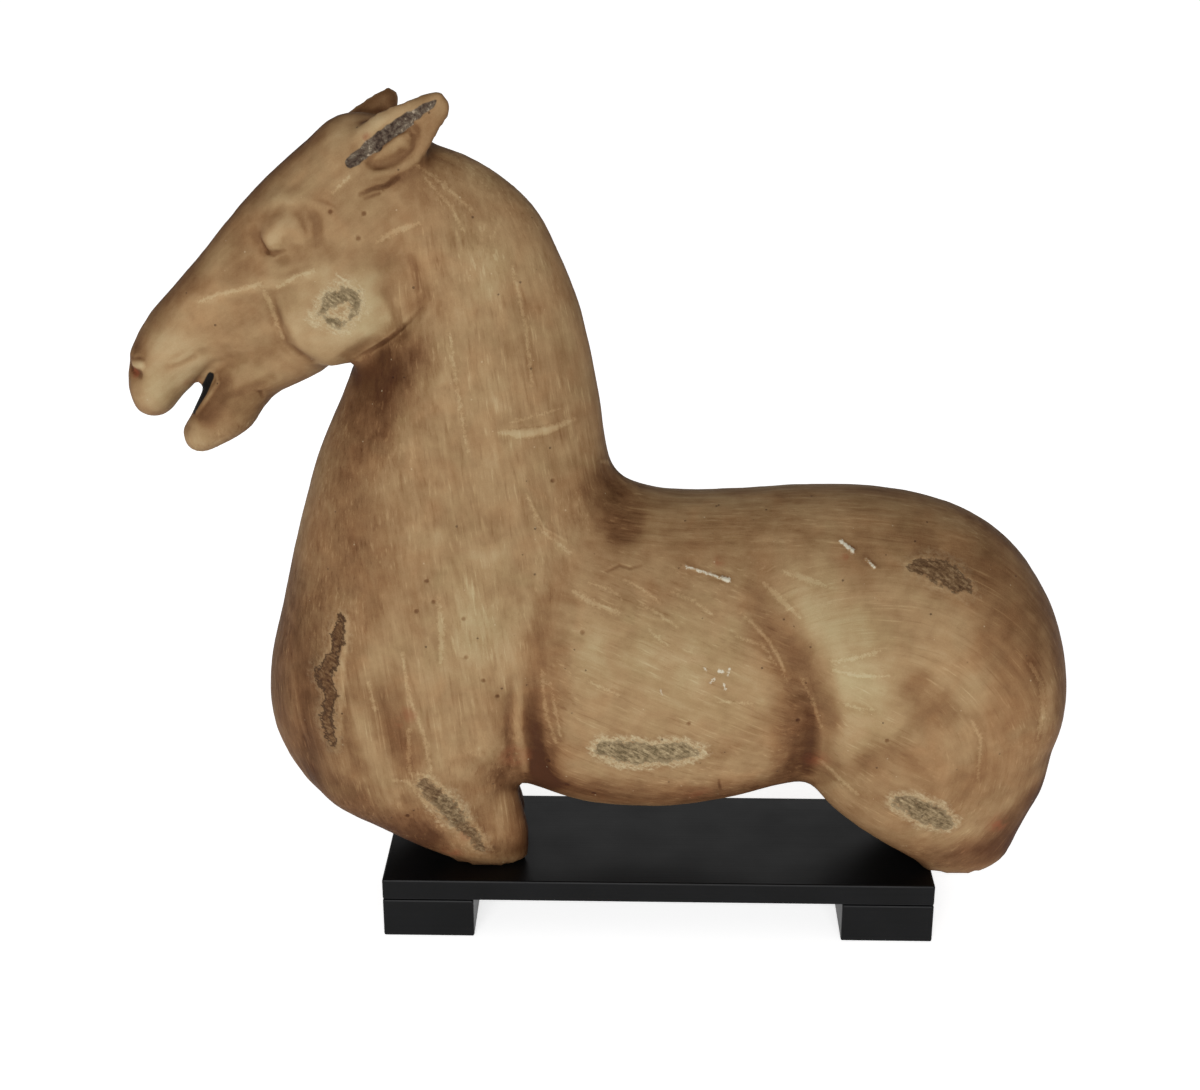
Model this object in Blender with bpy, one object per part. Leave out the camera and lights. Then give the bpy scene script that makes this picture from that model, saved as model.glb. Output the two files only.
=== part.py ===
"""A legless pottery horse resting on a low black stand.

The horse faces -X and stands up along +Z. Its nose and its rump are equally far from X = 0, and the
stand's underside is Z = 0. The clay form is drawn on a pattern PATTERN_LENGTH units long, whose Z = 0 is
the plane that the four cut legs rest on, and is then brought to HORSE_LENGTH.
"""

import math

import bmesh
import bpy
import numpy as np
from mathutils import Vector

# Driving sizes, in metres
HORSE_LENGTH = 0.605
STAND_DEPTH = 0.119
BOARD_THICKNESS = 0.015
FOOT_HEIGHT = 0.028
FOOT_WIDTH = 0.061
BOARD_BEFORE_FORELEG = 0.0425
BOARD_UNDER_HIND_LEG = 0.010
EDGE_ROUNDING = 0.0012
RESTING_GAP = 0.0003

# The pattern's own units, which are millimetres at the size above: its length and the X of its middle
PATTERN_LENGTH = 605.0
PATTERN_MIDDLE = -1.65
SCALE = HORSE_LENGTH / PATTERN_LENGTH
BOARD_TOP = FOOT_HEIGHT + BOARD_THICKNESS

# How finely the clay is worked, in pattern units
CLAY_GRAIN = 3.0
RING_SIDES = 48
RINGS_PER_SPAN = 6
CLAY_TRIANGLES = 8800

# How strongly the joints between the masses are rubbed smooth. The rubbing eases off over the muzzle, which
# lies in front of the first X and above the first Z, and over the ears, above the second Z. Each is where the
# easing starts and where it ends.
BLEND_PASSES = 16
BLEND_ON_BODY = 0.5
BLEND_ON_HEAD = 0.1
MUZZLE_X = (-130.0, -210.0)
MUZZLE_Z = (250.0, 290.0)
EARS_Z = (470.0, 490.0)

# A stroke presses at full depth where the clay faces at least this much sideways
FULL_STROKE_FACING = 0.4

# Soles: the foremost X of the cut forelegs and of the cut hind legs, on the pattern
FORELEG_SOLE = -108.0
HIND_LEG_SOLE = 208.0

# Stations of a clay mass. Each is one section: the two ends of its chord on the side view, (x, z) and
# (x, z), its half width, and how far its widest place lies beyond the chord's middle, as a share of the
# chord. A mass's centres are how far out its first and last sections lie from the middle of the horse.
TRUNK = (
    ((301, 133), (300, 112), 16, 0),
    ((298, 156), (294, 84), 44, 0),
    ((287, 186), (281, 64), 62, 0),
    ((265, 218), (262, 50), 71, 0),
    ((231, 243), (224, 46), 76, 0.02),
    ((181, 257), (172, 48), 77, 0.04),
    ((130, 259), (126, 54), 75, 0.04),
    ((85, 256), (82, 41), 74, 0.04),
    ((48, 255), (34, 33), 73, 0.04),
    ((25, 258), (-20, 37), 72, 0.05),
    ((6, 268), (-72, 53), 71, 0.07),
    ((0, 280), (-130, 36), 71, 0.09),
    ((-3, 297), (-190, 36), 71, 0.11),
    ((-5, 315), (-222, 80), 70, 0.12),
    ((-9, 339), (-227, 127), 66, 0.12),
    ((-14, 362), (-215, 180), 60, 0.1),
    ((-20, 385), (-202, 232), 55, 0.07),
    ((-30, 410), (-187, 281), 49, 0.04),
    ((-44, 438), (-169, 322), 43, 0),
    ((-63, 457), (-158, 352), 38, 0),
    ((-88, 472), (-150, 385), 35, 0),
    ((-116, 479), (-148, 420), 28, 0),
    ((-138, 472), (-148, 446), 14, 0),
)
HEAD = (
    ((-304, 335), (-304, 320), 9, 0),
    ((-301, 351), (-298, 307), 19, 0.03),
    ((-290, 370), (-284, 306), 25, 0.03),
    ((-272, 390), (-269, 321), 26, 0),
    ((-250, 414), (-246, 340), 28, -0.02),
    ((-229, 439), (-216, 338), 31, 0),
    ((-206, 462), (-188, 342), 35, -0.02),
    ((-186, 479), (-166, 350), 37, -0.04),
    ((-166, 495), (-146, 366), 37, -0.05),
    ((-142, 496), (-128, 388), 34, -0.04),
    ((-116, 485), (-112, 412), 29, 0),
    ((-94, 465), (-96, 438), 17, 0),
)
LOWER_JAW = (
    ((-274, 296), (-271, 283), 7, 0),
    ((-269, 303), (-262, 280), 14, 0),
    ((-262, 316), (-244, 288), 17, 0),
    ((-256, 328), (-229, 298), 18, 0),
    ((-249, 340), (-220, 311), 19, 0),
    ((-238, 352), (-210, 321), 21, 0),
    ((-222, 366), (-190, 331), 25, 0),
    ((-202, 376), (-172, 344), 26, 0),
    ((-190, 378), (-176, 362), 13, 0),
)
CHEEK = (
    ((-206, 380), (-202, 366), 7, 0),
    ((-206, 398), (-197, 351), 14, 0),
    ((-197, 416), (-181, 344), 19, 0),
    ((-180, 426), (-162, 345), 21, 0),
    ((-161, 427), (-144, 353), 20, 0),
    ((-144, 420), (-129, 364), 15, 0),
    ((-132, 404), (-124, 378), 7, 0),
)
CHEEK_CENTRES = (21.0, 21.0)
HAUNCH = (
    ((176, 216), (232, 220), 16, 0),
    ((150, 196), (262, 200), 32, 0),
    ((133, 165), (286, 168), 41, 0),
    ((127, 125), (296, 124), 44, 0),
    ((129, 88), (292, 87), 42, 0),
    ((138, 58), (289, 63), 37, 0),
    ((159, 37), (280, 42), 31, 0),
    ((184, 19), (274, 25), 24, 0),
    ((202, 8), (268, 8), 18, 0),
    ((211, -1), (257, -1), 13, 0),
    ((217, -6), (246, -6), 8, 0),
)
HAUNCH_CENTRES = (34.0, 30.0)
SHOULDER = (
    ((-110, 236), (-74, 240), 12, 0),
    ((-150, 214), (-48, 222), 28, 0),
    ((-184, 175), (-42, 182), 38, 0),
    ((-203, 130), (-46, 136), 41, 0),
    ((-203, 84), (-53, 98), 40, 0),
    ((-191, 50), (-61, 67), 36, 0),
    ((-159, 30), (-65, 41), 29, 0),
    ((-130, 13), (-56, 20), 21, 0),
    ((-111, 3), (-52, 5), 14, 0),
    ((-100, -4), (-56, -5), 9, 0),
)
SHOULDER_CENTRES = (33.0, 28.0)
# The horse's right foreleg stands this much further forward than its left one
RIGHT_FORELEG_LEAD = 5.0
EAR = (
    ((-170, 462), (-148, 438), 7, 0),
    ((-158, 483), (-137, 453), 9, 0),
    ((-142, 498), (-124, 462), 9, 0),
    ((-125, 506), (-110, 473), 8, 0),
    ((-110, 512), (-101, 489), 6.5, 0),
    ((-99, 515), (-93, 502), 4.5, 0),
    ((-96, 511), (-93, 506), 2.5, 0),
)
EAR_CENTRES = (16.0, 30.0)
EAR_ROOT = (-158.0, 455.0)

# The horse's right ear stands steeper than its left one and is shorter: moved, turned and shortened
RIGHT_EAR_MOVE = (-14.0, 1.0)
RIGHT_EAR_TURN = math.radians(10)
RIGHT_EAR_LENGTH = 0.77

# Tool strokes on both flanks: how far to each side a stroke reaches, and its route as (x, z, depth).
# A negative depth is a raised ridge.
STROKES = {
    "eyeball": (13, ((-201, 430, -4.2), (-193, 432, -4.2))),
    "crease in front of the eye": (6, ((-213, 427, 1.5), (-208, 419, 2.6), (-197, 415, 1.8))),
    "rear corner of the eye": (9, ((-184, 430, -2.2), (-182, 437, -1.6))),
    "crease behind the eye": (6, ((-184, 448, 0.8), (-175, 439, 2.0), (-174, 428, 1.0))),
    "brow": (9, ((-210, 440, -0.8), (-197, 449, -2.0), (-180, 448, -1.2))),
    "facial crest": (9, ((-252, 388, -0.8), (-213, 399, -1.8), (-172, 411, -1.2))),
    "hollow before the crest": (15, ((-262, 372, 0.8), (-235, 375, 2.2), (-214, 384, 1.6))),
    "front of the jaw muscle": (8, ((-209, 398, 0.8), (-203, 378, 2.4), (-196, 358, 2.6), (-178, 345, 1.4))),
    "back of the jaw muscle": (11, ((-128, 428, 0.6), (-119, 412, 1.6), (-114, 394, 2.0), (-128, 373, 2.6))),
    "under the jaw": (11, ((-130, 371, 1.2), (-145, 359, 2.6), (-160, 350, 2.2))),
    "nostril": (5, ((-299, 341, 2.2), (-294, 338, 2.0))),
    "nostril wing": (6, ((-297, 349, -1.8), (-290, 346, -1.2))),
    "lip corner": (7, ((-272, 346, 0.6), (-252, 353, 1.2))),
    "throat": (30, ((-143, 344, 3.0), (-150, 312, 3.0), (-160, 286, 1.5))),
    "behind the shoulder": (27, ((-8, 256, 0.5), (-26, 210, 2.5), (-42, 155, 4.5), (-50, 92, 6.0))),
    "flank": (25, ((90, 217, 1.0), (117, 177, 3.5), (135, 129, 5.5), (131, 85, 5.0))),
    "below the withers": (20, ((-2, 270, 1.5), (10, 246, 2.5))),
    "hollow of the shoulder": (30, ((-136, 140, 2.0), (-130, 112, 3.0))),
    "edge of the chest": (18, ((-168, 192, -0.8), (-177, 150, -2.4), (-182, 111, -2.4), (-178, 90, -1.0))),
    "front of the foreleg": (16, ((-120, 80, -1.4), (-103, 44, -2.2), (-86, 15, -1.6))),
    "hollow of the haunch": (28, ((196, 150, 2.8), (204, 138, 2.8))),
}

# The left ear's hollow, an oval groove around a lobe: its middle, half length, half width, tilt and depth
EAR_HOLLOW_MIDDLE = (-128.0, 483.0)
EAR_HOLLOW_SIZE = (17.0, 8.0)
EAR_HOLLOW_TILT = math.radians(33)
EAR_HOLLOW_REACH = 5.0
EAR_HOLLOW_DEPTH = 2.6
EAR_HOLLOW_POINTS = 14


def smooth_rows(rows, per_span):
    """Rows of numbers, joined by a curve through them (Hermite spans on the distance between rows)."""
    rows = np.array(rows, float)
    steps = np.linalg.norm(np.diff(rows[:, :4], axis=0), axis=1)
    knots = np.concatenate([[0.0], np.cumsum(np.sqrt(steps))])
    slopes = np.gradient(rows, knots, axis=0)
    found = []
    for i in range(len(rows) - 1):
        span = knots[i + 1] - knots[i]
        last = i == len(rows) - 2
        for t in np.linspace(0, 1, per_span + 1)[: per_span + 1 if last else per_span]:
            found.append(
                (2 * t**3 - 3 * t**2 + 1) * rows[i]
                + (t**3 - 2 * t**2 + t) * span * slopes[i]
                + (3 * t**2 - 2 * t**3) * rows[i + 1]
                + (t**3 - t**2) * span * slopes[i + 1]
            )
    return found


def section(row):
    """The ring of points of one section: an egg on its chord, its widest place moved along the chord."""
    ax, az, bx, bz, half_width, shift, centre_y = row
    lean = math.asin(2 * shift)
    ring = []
    for i in range(RING_SIDES):
        turn = 2 * math.pi * i / RING_SIDES
        along = (1 - math.cos(turn + lean * math.sin(turn))) / 2
        y = centre_y + half_width * math.sin(turn)
        ring.append(Vector((ax + (bx - ax) * along, y, az + (bz - az) * along)))
    return ring


def add_mass(clay, stations, side=0, centres=(0.0, 0.0)):
    """Adds the closed skin through the stations' sections; its middle goes from one centre to the other."""
    middles = side * np.linspace(*centres, len(stations))
    rows = [(*a, *b, width, shift, middle) for (a, b, width, shift), middle in zip(stations, middles)]
    rings = [[clay.verts.new(p) for p in section(row)] for row in smooth_rows(rows, RINGS_PER_SPAN)]
    skin = []
    for near, far in zip(rings, rings[1:]):
        for i in range(RING_SIDES):
            j = (i + 1) % RING_SIDES
            skin.append(clay.faces.new((near[i], near[j], far[j], far[i])))
    skin.append(clay.faces.new(list(reversed(rings[0]))))
    skin.append(clay.faces.new(rings[-1]))
    bmesh.ops.recalc_face_normals(clay, faces=skin)


def right_shoulder():
    """The left shoulder's stations as the right shoulder has them."""

    def moved(point):
        return point[0] - RIGHT_FORELEG_LEAD, point[1]

    return [(moved(a), moved(b), width, shift) for a, b, width, shift in SHOULDER]


def right_ear():
    """The left ear's stations as the right ear has them."""
    angle_cos, angle_sin = math.cos(RIGHT_EAR_TURN), math.sin(RIGHT_EAR_TURN)

    def moved(point):
        x = (point[0] - EAR_ROOT[0]) * RIGHT_EAR_LENGTH
        z = (point[1] - EAR_ROOT[1]) * RIGHT_EAR_LENGTH
        return (
            EAR_ROOT[0] + RIGHT_EAR_MOVE[0] + x * angle_cos - z * angle_sin,
            EAR_ROOT[1] + RIGHT_EAR_MOVE[1] + x * angle_sin + z * angle_cos,
        )

    return [(moved(a), moved(b), width, shift) for a, b, width, shift in EAR]


def new_object(name, mesh):
    made = bpy.data.objects.new(name, mesh)
    bpy.context.scene.collection.objects.link(made)
    return made


def apply_modifiers(obj):
    """The object keeps the mesh that its modifiers make."""
    bpy.context.view_layer.update()
    graph = bpy.context.evaluated_depsgraph_get()
    made = bpy.data.meshes.new_from_object(obj.evaluated_get(graph))
    obj.modifiers.clear()
    obj.data = made


def clay_horse():
    """All the masses pressed into one body."""
    clay = bmesh.new()
    add_mass(clay, TRUNK)
    add_mass(clay, HEAD)
    add_mass(clay, LOWER_JAW)
    for side in (-1, 1):
        add_mass(clay, CHEEK, side, CHEEK_CENTRES)
        add_mass(clay, HAUNCH, side, HAUNCH_CENTRES)
    add_mass(clay, SHOULDER, -1, SHOULDER_CENTRES)
    add_mass(clay, right_shoulder(), 1, SHOULDER_CENTRES)
    add_mass(clay, EAR, -1, EAR_CENTRES)
    add_mass(clay, right_ear(), 1, EAR_CENTRES)
    mesh = bpy.data.meshes.new("horse")
    clay.to_mesh(mesh)
    clay.free()
    horse = new_object("horse", mesh)
    remesh = horse.modifiers.new("one_body", "REMESH")
    remesh.mode = "VOXEL"
    remesh.voxel_size = CLAY_GRAIN
    apply_modifiers(horse)
    return horse


def read_points(mesh):
    points = np.empty(len(mesh.vertices) * 3, np.float32)
    mesh.vertices.foreach_get("co", points)
    return points.reshape(-1, 3).astype(float)


def write_points(mesh, points):
    mesh.vertices.foreach_set("co", points.astype(np.float32).ravel())
    mesh.update()


def read_normals(mesh):
    normals = np.empty(len(mesh.vertices) * 3, np.float32)
    mesh.vertices.foreach_get("normal", normals)
    return normals.reshape(-1, 3).astype(float)


def blend_joints(mesh):
    """Rubs the joints between the masses smooth, strongly on the body and lightly on the head."""
    points = read_points(mesh)
    edges = np.empty(len(mesh.edges) * 2, np.int32)
    mesh.edges.foreach_get("vertices", edges)
    first, second = edges.reshape(-1, 2).T
    count = np.bincount(edges, minlength=len(points))[:, None]
    strength = rubbing(points)[:, None]
    for _ in range(BLEND_PASSES):
        total = np.zeros_like(points)
        np.add.at(total, first, points[second])
        np.add.at(total, second, points[first])
        points += strength * (total / count - points)
    write_points(mesh, points)


def eased(values, limits):
    """0 at the first limit and 1 at the second, held beyond them."""
    return np.clip((values - limits[0]) / (limits[1] - limits[0]), 0, 1)


def rubbing(points):
    """How strongly each point is rubbed: fully on the body, less towards the muzzle and on the ears."""
    on_muzzle = eased(points[:, 0], MUZZLE_X) * eased(points[:, 2], MUZZLE_Z)
    on_head = np.maximum(on_muzzle, eased(points[:, 2], EARS_Z))
    return BLEND_ON_BODY + (BLEND_ON_HEAD - BLEND_ON_BODY) * on_head


def stroke_depth(flat, route, reach):
    """The depth of a stroke at each point of the side view: deepest on its route, none beyond its reach."""
    route = np.array(route, float)
    nearest = np.full(len(flat), np.inf)
    depth = np.zeros(len(flat))
    for start, end in zip(route, route[1:]):
        run = end[:2] - start[:2]
        share = np.clip((flat - start[:2]) @ run / (run @ run), 0, 1)
        away = np.linalg.norm(flat - start[:2] - share[:, None] * run, axis=1)
        closer = away < nearest
        nearest[closer] = away[closer]
        depth[closer] = (start[2] + share * (end[2] - start[2]))[closer]
    return depth * np.clip(1 - (nearest / reach) ** 2, 0, 1) ** 2


def carve(mesh):
    """Presses the strokes into both flanks, and the hollow into the left ear."""
    points = read_points(mesh)
    normals = read_normals(mesh)
    flat = points[:, [0, 2]]
    facing = np.clip(np.abs(normals[:, 1]) / FULL_STROKE_FACING, 0, 1)
    depth = np.zeros(len(points))
    for reach, route in STROKES.values():
        depth += stroke_depth(flat, route, reach)
    outward = points[:, 1] * normals[:, 1] > 0
    depth *= facing * outward
    left = (points[:, 1] < 0) & (normals[:, 1] < 0)
    depth += left * facing * stroke_depth(flat, ear_hollow_route(), EAR_HOLLOW_REACH)
    points -= normals * depth[:, None]
    write_points(mesh, points)


def ear_hollow_route():
    route = []
    for i in range(EAR_HOLLOW_POINTS + 1):
        turn = 2 * math.pi * i / EAR_HOLLOW_POINTS
        along = EAR_HOLLOW_SIZE[0] * math.cos(turn)
        across = EAR_HOLLOW_SIZE[1] * math.sin(turn)
        x = EAR_HOLLOW_MIDDLE[0] + along * math.cos(EAR_HOLLOW_TILT) - across * math.sin(EAR_HOLLOW_TILT)
        z = EAR_HOLLOW_MIDDLE[1] + along * math.sin(EAR_HOLLOW_TILT) + across * math.cos(EAR_HOLLOW_TILT)
        route.append((x, z, EAR_HOLLOW_DEPTH))
    return route


def thin_out(horse):
    """Fewer triangles where the clay is plain."""
    count = sum(len(p.vertices) - 2 for p in horse.data.polygons)
    decimate = horse.modifiers.new("thin", "DECIMATE")
    decimate.ratio = CLAY_TRIANGLES / count
    apply_modifiers(horse)


def cut_soles(horse):
    """Cuts the legs flat where they rest, and brings the pattern to its real size and height."""
    work = bmesh.new()
    work.from_mesh(horse.data)
    whole = [*work.verts, *work.edges, *work.faces]
    cut = bmesh.ops.bisect_plane(work, geom=whole, plane_co=(0, 0, 0), plane_no=(0, 0, -1), clear_outer=True)
    rims = [e for e in cut["geom_cut"] if isinstance(e, bmesh.types.BMEdge)]
    bmesh.ops.holes_fill(work, edges=rims, sides=0)
    bmesh.ops.triangulate(work, faces=work.faces)
    bmesh.ops.recalc_face_normals(work, faces=work.faces)
    bmesh.ops.scale(work, vec=(SCALE, SCALE, SCALE), verts=work.verts)
    bmesh.ops.translate(work, vec=(-PATTERN_MIDDLE * SCALE, 0, BOARD_TOP + RESTING_GAP), verts=work.verts)
    work.to_mesh(horse.data)
    work.free()
    horse.data.shade_smooth()


def block(name, low, high):
    """A board with its edges broken."""
    low, high = Vector(low), Vector(high)
    work = bmesh.new()
    bmesh.ops.create_cube(work, size=1.0)
    bmesh.ops.scale(work, vec=high - low, verts=work.verts)
    mesh = bpy.data.meshes.new(name)
    work.to_mesh(mesh)
    work.free()
    made = new_object(name, mesh)
    made.location = (low + high) / 2
    bevel = made.modifiers.new("broken_edges", "BEVEL")
    bevel.width = EDGE_ROUNDING
    bevel.segments = 2
    return made


def build_stand():
    """The board under the legs, and a foot across each of its ends."""
    left = (FORELEG_SOLE - PATTERN_MIDDLE) * SCALE - BOARD_BEFORE_FORELEG
    right = (HIND_LEG_SOLE - PATTERN_MIDDLE) * SCALE + BOARD_UNDER_HIND_LEG
    back = STAND_DEPTH / 2
    made = [block("stand_board", (left, -back, FOOT_HEIGHT), (right, back, BOARD_TOP))]
    under = FOOT_HEIGHT - RESTING_GAP
    made.append(block("stand_foot_front", (left, -back, 0), (left + FOOT_WIDTH, back, under)))
    made.append(block("stand_foot_rear", (right - FOOT_WIDTH, -back, 0), (right, back, under)))
    return made


def material(name, colour, roughness):
    made = bpy.data.materials.new(name)
    made.use_nodes = True
    shader = made.node_tree.nodes["Principled BSDF"]
    shader.inputs["Base Color"].default_value = (*colour, 1.0)
    shader.inputs["Roughness"].default_value = roughness
    return made


def main():
    for obj in list(bpy.data.objects):
        bpy.data.objects.remove(obj)
    horse = clay_horse()
    blend_joints(horse.data)
    carve(horse.data)
    thin_out(horse)
    cut_soles(horse)
    horse.data.materials.append(material("brown_pottery", (0.30, 0.18, 0.10), 0.6))
    black = material("black_lacquer", (0.012, 0.012, 0.013), 0.45)
    for piece in build_stand():
        piece.data.materials.append(black)


main()
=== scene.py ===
"""A legless pottery horse on a low black stand, dressed and lit as in a museum's photograph.

The horse is worked in the drawing's millimetres: x along the body with the nose at the left end, y across
(the side that the camera sees is negative) and z up from the soles.
"""
import bmesh
import bpy
import math
import numpy as np
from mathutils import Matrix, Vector, noise
from mathutils.bvhtree import BVHTree


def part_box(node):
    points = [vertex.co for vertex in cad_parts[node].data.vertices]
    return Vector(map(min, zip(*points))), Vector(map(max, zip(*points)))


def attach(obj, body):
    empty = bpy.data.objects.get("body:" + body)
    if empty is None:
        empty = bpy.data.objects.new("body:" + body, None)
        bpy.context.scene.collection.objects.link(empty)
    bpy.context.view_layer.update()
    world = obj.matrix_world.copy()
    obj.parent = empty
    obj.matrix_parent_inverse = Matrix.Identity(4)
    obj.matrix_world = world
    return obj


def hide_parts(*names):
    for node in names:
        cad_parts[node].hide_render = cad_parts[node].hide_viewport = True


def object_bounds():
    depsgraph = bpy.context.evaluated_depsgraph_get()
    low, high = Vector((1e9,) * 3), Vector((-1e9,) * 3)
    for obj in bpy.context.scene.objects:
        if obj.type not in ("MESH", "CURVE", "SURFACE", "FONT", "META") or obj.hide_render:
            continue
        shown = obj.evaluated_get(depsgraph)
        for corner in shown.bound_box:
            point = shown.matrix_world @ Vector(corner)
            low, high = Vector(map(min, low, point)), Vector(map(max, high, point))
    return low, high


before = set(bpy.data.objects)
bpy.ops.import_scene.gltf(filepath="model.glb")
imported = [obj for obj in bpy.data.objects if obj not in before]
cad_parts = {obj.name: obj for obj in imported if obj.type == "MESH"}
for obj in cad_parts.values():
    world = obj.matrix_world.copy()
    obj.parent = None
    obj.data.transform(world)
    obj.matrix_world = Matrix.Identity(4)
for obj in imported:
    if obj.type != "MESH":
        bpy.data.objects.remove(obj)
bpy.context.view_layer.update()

HORSE_LOW, HORSE_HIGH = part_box("horse")
BOARD_LOW, BOARD_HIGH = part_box("stand_board")

# The drawing: where its nose lies and how long it is, in its own millimetres
DRAWING_NOSE = -303.97
DRAWING_LENGTH = 604.6
SCALE = (HORSE_HIGH.x - HORSE_LOW.x) / DRAWING_LENGTH

# The photograph's camera
CAMERA_PLACE = (0.02275, -1.1973, 0.7351)
CAMERA_DOWN = 21.59
CAMERA_TURN = 1.3
CAMERA_LENS = 59.16
SENSOR = 36.0

# The studio: each sun's azimuth, height, strength and width, with the angles in degrees
LIGHTS = {
    "key": (-4.0, 16.0, 2.5, 40.0),
}
SKY = 0.25
# The lit panel behind the horse, and the pale floor, which shines a little by itself
BACKDROP_PLACE = (0.05, 1.5, 0.8)
BACKDROP_SIZE = (1.1, 0.5)
BACKDROP_TILT = -65.0
BACKDROP_POWER = 1.9
FLOOR_REACH = 30.0
FLOOR_BELOW = 0.0002
FLOOR_GLOW = 0.7

# How much brighter than its own colour the clay looks in that light, and its tone where nothing marks it
LIGHT_ON_CLAY = 1.35
BASE_TONE = 0.5
# How far the painted shade and light, with the washes, move the tone
SHADING_AND_WASH_TONE = -0.42
# What the clay's gloss adds to every colour that the camera sees
SHEEN = 0.014

# The clay's fineness, in millimetres, and where the head and the muzzle, which are finer, begin (x and z)
CLAY_GRID = 3.7
HEAD_FROM = (-84.0, 352.0)
MUZZLE_FROM = (-190.0, 290.0)
# What is made finer outside the head, and what is made finer once more: how far around a mark,
# and the widest line that counts as one
WIDE_DETAIL = (1.8, 9.0)
CLOSE_DETAIL = (0.5, 2.4)
EYE = (-198.0, 431.0)
EYE_REACH = 22.0

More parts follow.
